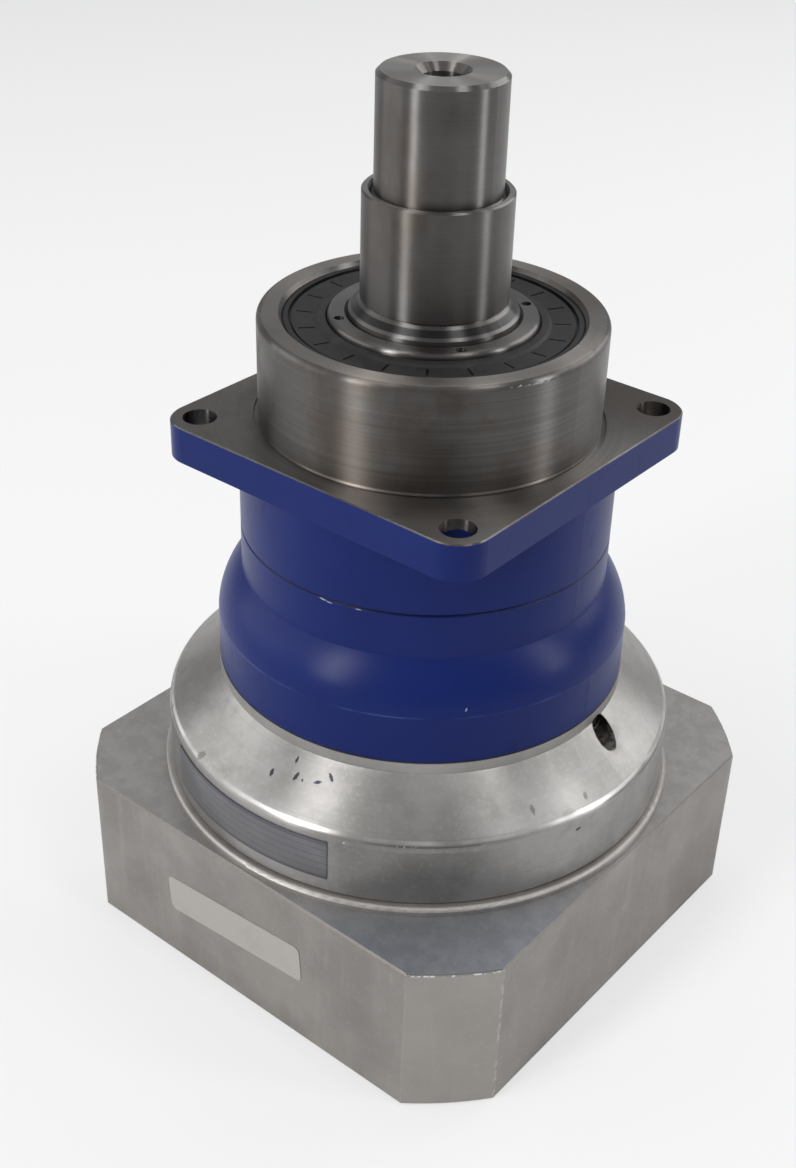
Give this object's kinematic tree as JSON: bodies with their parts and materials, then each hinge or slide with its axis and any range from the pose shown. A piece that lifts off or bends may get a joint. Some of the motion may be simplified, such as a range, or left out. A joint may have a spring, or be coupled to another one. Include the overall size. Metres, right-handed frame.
{
  "type": "planetary gearbox",
  "caption": "Inline planetary servo gearbox with a blue body, round pilot, smooth output shaft, turned aluminium bell and square motor plate.",
  "frame": {"origin": "centre of the motor adapter plate's underside", "axes": "+Z along the output shaft, X and Y square to the plate's sides"},
  "size_m": [0.15, 0.15, 0.246],
  "materials": {
    "machined_aluminium": "dull, machined",
    "turned_aluminium": "satin, turned",
    "blue_paint": "satin paint",
    "dark_steel": "ground, oiled",
    "bright_steel": "ground",
    "black_steel": "black oxide",
    "seal_rubber": "matt",
    "cage_plastic": "matt"
  },
  "bodies": {
    "housing": {"motor_adapter_plate": "machined_aluminium", "input_bell": "turned_aluminium", "ring_gear_housing": "blue_paint", "output_housing": "blue_paint", "ring_gear": "bright_steel", "lower_housing_o_ring": "seal_rubber", "upper_housing_o_ring": "seal_rubber", "output_shaft_seal": "seal_rubber", "front_bearing_outer_race": "bright_steel", "rear_bearing_outer_race": "bright_steel", "input_bearing_outer_race": "bright_steel", "input_shaft_seal": "seal_rubber", "housing_circlip": "black_steel", "plate_screws": "black_steel", "gearbox_screws": "black_steel", "dowel_pins": "bright_steel"},
    "output": {"output_shaft": "dark_steel", "shaft_sleeve": "dark_steel", "shaft_nut": "dark_steel", "front_bearing_inner_race": "bright_steel", "rear_bearing_inner_race": "bright_steel", "planet_pin_1": "bright_steel", "planet_pin_2": "bright_steel", "planet_pin_3": "bright_steel", "planet_thrust_washers": "bright_steel"},
    "input": {"input_hub": "bright_steel", "sun_gear": "bright_steel", "clamp_ring": "bright_steel", "clamp_screw": "black_steel", "input_bearing_inner_race": "bright_steel", "hub_circlip": "black_steel"},
    "front_cage": {"front_bearing_rollers": "bright_steel", "front_bearing_cage": "bright_steel"},
    "rear_cage": {"rear_bearing_rollers": "bright_steel", "rear_bearing_cage": "bright_steel"},
    "input_cage": {"input_bearing_balls": "bright_steel", "input_bearing_cage": "cage_plastic"},
    "planet_1": {"planet_gear_1": "bright_steel"},
    "needles_1": {"planet_needles_1": "bright_steel"},
    "planet_2": {"planet_gear_2": "bright_steel"},
    "needles_2": {"planet_needles_2": "bright_steel"},
    "planet_3": {"planet_gear_3": "bright_steel"},
    "needles_3": {"planet_needles_3": "bright_steel"}
  },
  "joints": [
    {"name": "output_spin", "type": "hinge", "parent": "housing", "child": "output", "pos_m": [0, 0, 0.12], "axis": [0, 0, 1], "continuous": true},
    {"name": "input_spin", "type": "hinge", "parent": "housing", "child": "input", "pos_m": [0, 0, 0.12], "axis": [0, 0, 1], "continuous": true},
    {"name": "front_cage_spin", "type": "hinge", "parent": "housing", "child": "front_cage", "pos_m": [0, 0, 0.12], "axis": [0, 0, 1], "continuous": true},
    {"name": "rear_cage_spin", "type": "hinge", "parent": "housing", "child": "rear_cage", "pos_m": [0, 0, 0.12], "axis": [0, 0, 1], "continuous": true},
    {"name": "input_cage_spin", "type": "hinge", "parent": "housing", "child": "input_cage", "pos_m": [0, 0, 0.12], "axis": [0, 0, 1], "continuous": true},
    {"name": "planet_1_spin", "type": "hinge", "parent": "output", "child": "planet_1", "pos_m": [0, 0.027, 0.12], "axis": [0, 0, 1], "continuous": true},
    {"name": "needles_1_spin", "type": "hinge", "parent": "output", "child": "needles_1", "pos_m": [0, 0.027, 0.12], "axis": [0, 0, 1], "continuous": true},
    {"name": "planet_2_spin", "type": "hinge", "parent": "output", "child": "planet_2", "pos_m": [-0.02338, -0.0135, 0.12], "axis": [0, 0, 1], "continuous": true},
    {"name": "needles_2_spin", "type": "hinge", "parent": "output", "child": "needles_2", "pos_m": [-0.02338, -0.0135, 0.12], "axis": [0, 0, 1], "continuous": true},
    {"name": "planet_3_spin", "type": "hinge", "parent": "output", "child": "planet_3", "pos_m": [0.02338, -0.0135, 0.12], "axis": [0, 0, 1], "continuous": true},
    {"name": "needles_3_spin", "type": "hinge", "parent": "output", "child": "needles_3", "pos_m": [0.02338, -0.0135, 0.12], "axis": [0, 0, 1], "continuous": true}
  ],
  "couplings": [
    {"joint": "input_spin", "follows": "output_spin", "ratio": 4},
    {"joint": "front_cage_spin", "follows": "output_spin", "ratio": 0.4337},
    {"joint": "rear_cage_spin", "follows": "output_spin", "ratio": 0.4388},
    {"joint": "input_cage_spin", "follows": "output_spin", "ratio": 1.749},
    {"joint": "planet_1_spin", "follows": "output_spin", "ratio": -3},
    {"joint": "needles_1_spin", "follows": "output_spin", "ratio": -1.855},
    {"joint": "planet_2_spin", "follows": "output_spin", "ratio": -3},
    {"joint": "needles_2_spin", "follows": "output_spin", "ratio": -1.855},
    {"joint": "planet_3_spin", "follows": "output_spin", "ratio": -3},
    {"joint": "needles_3_spin", "follows": "output_spin", "ratio": -1.855}
  ]
}
